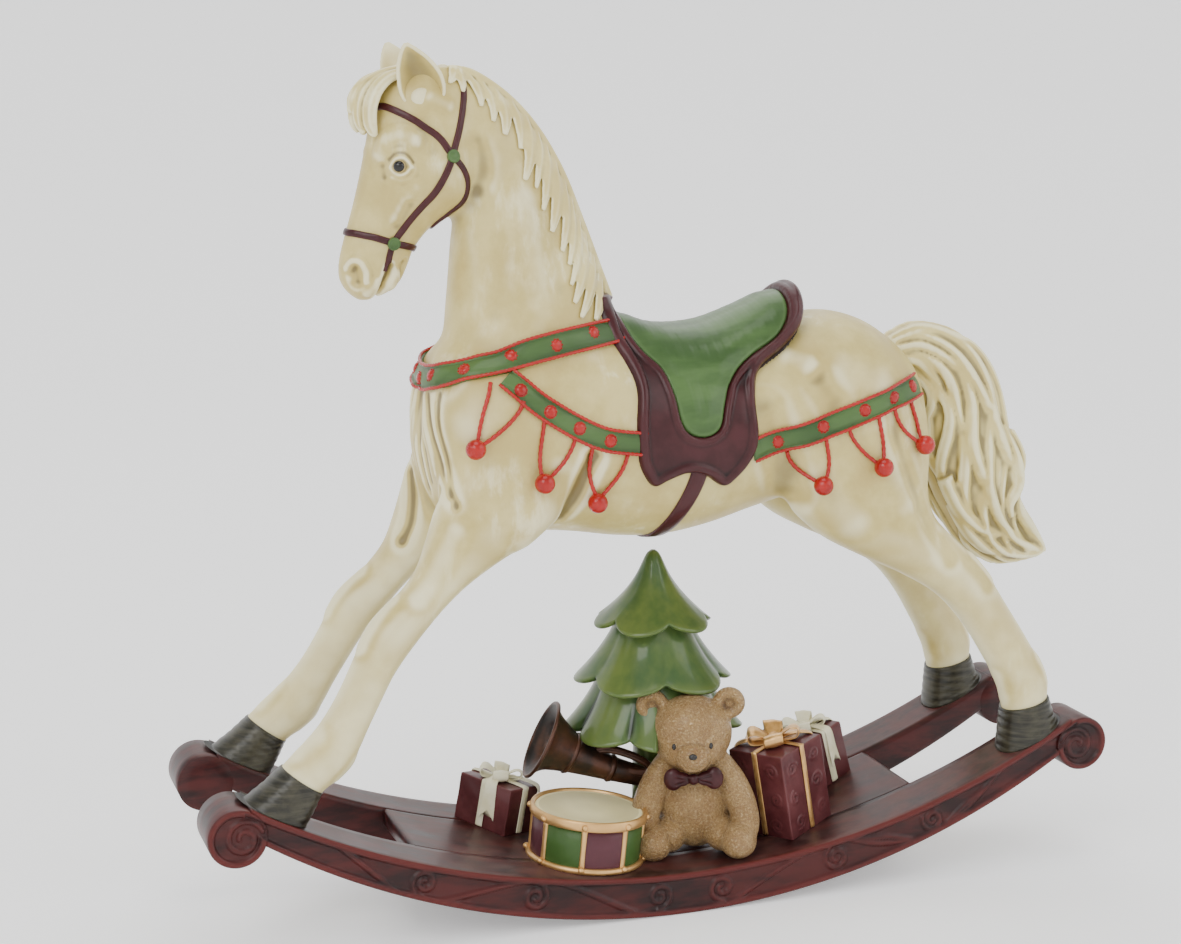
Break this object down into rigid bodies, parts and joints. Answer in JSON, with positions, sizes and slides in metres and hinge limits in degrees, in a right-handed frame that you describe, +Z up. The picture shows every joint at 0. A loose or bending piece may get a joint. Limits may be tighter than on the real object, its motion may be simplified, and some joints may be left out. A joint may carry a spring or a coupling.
{
  "type": "rocking horse ornament",
  "caption": "Painted resin rocking horse on curved scrolled runners, in saddle and harness, with a fir tree, teddy bear, drum, bugle and wrapped gifts on its deck.",
  "frame": {"origin": "on the floor, under the middle of the base", "axes": "+Z up, the horse faces -X, its own left side is -Y"},
  "size_m": [0.5, 0.1216, 0.451],
  "materials": {
    "coat": "painted cast resin, satin, rubbed pearl highlights",
    "hair": "painted cast resin, satin",
    "hoof": "near-black olive paint, semi-gloss",
    "base": "dark mahogany paint with red rubbed edges",
    "green": "brushed green paint",
    "burgundy": "deep burgundy gloss paint",
    "red": "bright red gloss paint",
    "eye": "black gloss paint",
    "steel": "plain steel pin",
    "fir": "green paint, satin",
    "bear": "brown paint over stippled fur",
    "gold": "antique gold paint",
    "drum_panels": "green and burgundy panels",
    "drum_skin": "cream paint, matt",
    "bronze": "dark bronze paint with copper rubs",
    "wrapping": "burgundy paint, satin",
    "cream_ribbon": "cream paint, satin"
  },
  "bodies": {
    "root": {"bear": "bear", "bear_bow_tie": "burgundy", "breast_collar": "green", "bridle": "burgundy", "bugle": "bronze", "deck": "base", "dowel_front_left": "steel", "dowel_front_right": "steel", "dowel_rear_left": "steel", "dowel_rear_right": "steel", "drum_cage": "gold", "drum_shell": "drum_panels", "drum_skin": "drum_skin", "ear_left": "coat", "ear_right": "coat", "eye_left": "eye", "eye_right": "eye", "forelock": "hair", "gift_back": "wrapping", "gift_back_ribbon": "cream_ribbon", "gift_large": "wrapping", "gift_large_ribbon": "gold", "gift_small": "wrapping", "gift_small_ribbon": "cream_ribbon", "girth": "burgundy", "head": "coat", "hoof_front_left": "hoof", "hoof_front_right": "hoof", "hoof_rear_left": "hoof", "hoof_rear_right": "hoof", "leg_front_left": "coat", "leg_front_right": "coat", "leg_rear_left": "coat", "leg_rear_right": "coat", "mane": "hair", "neck": "coat", "rump_pendant_a_left": "red", "rump_pendant_a_right": "red", "rump_pendant_b_left": "red", "rump_pendant_b_right": "red", "rump_pendant_c_left": "red", "rump_pendant_c_right": "red", "rump_strap_left": "green", "rump_strap_right": "green", "runner_left": "base", "runner_right": "base", "saddle_seat": "green", "saddle_skirt": "burgundy", "shoulder_pendant_a_left": "red", "shoulder_pendant_a_right": "red", "shoulder_pendant_b_left": "red", "shoulder_pendant_b_right": "red", "shoulder_pendant_c_left": "red", "shoulder_pendant_c_right": "red", "shoulder_strap_left": "green", "shoulder_strap_right": "green", "tail": "hair", "torso": "coat", "tree": "fir"}
  },
  "joints": []
}
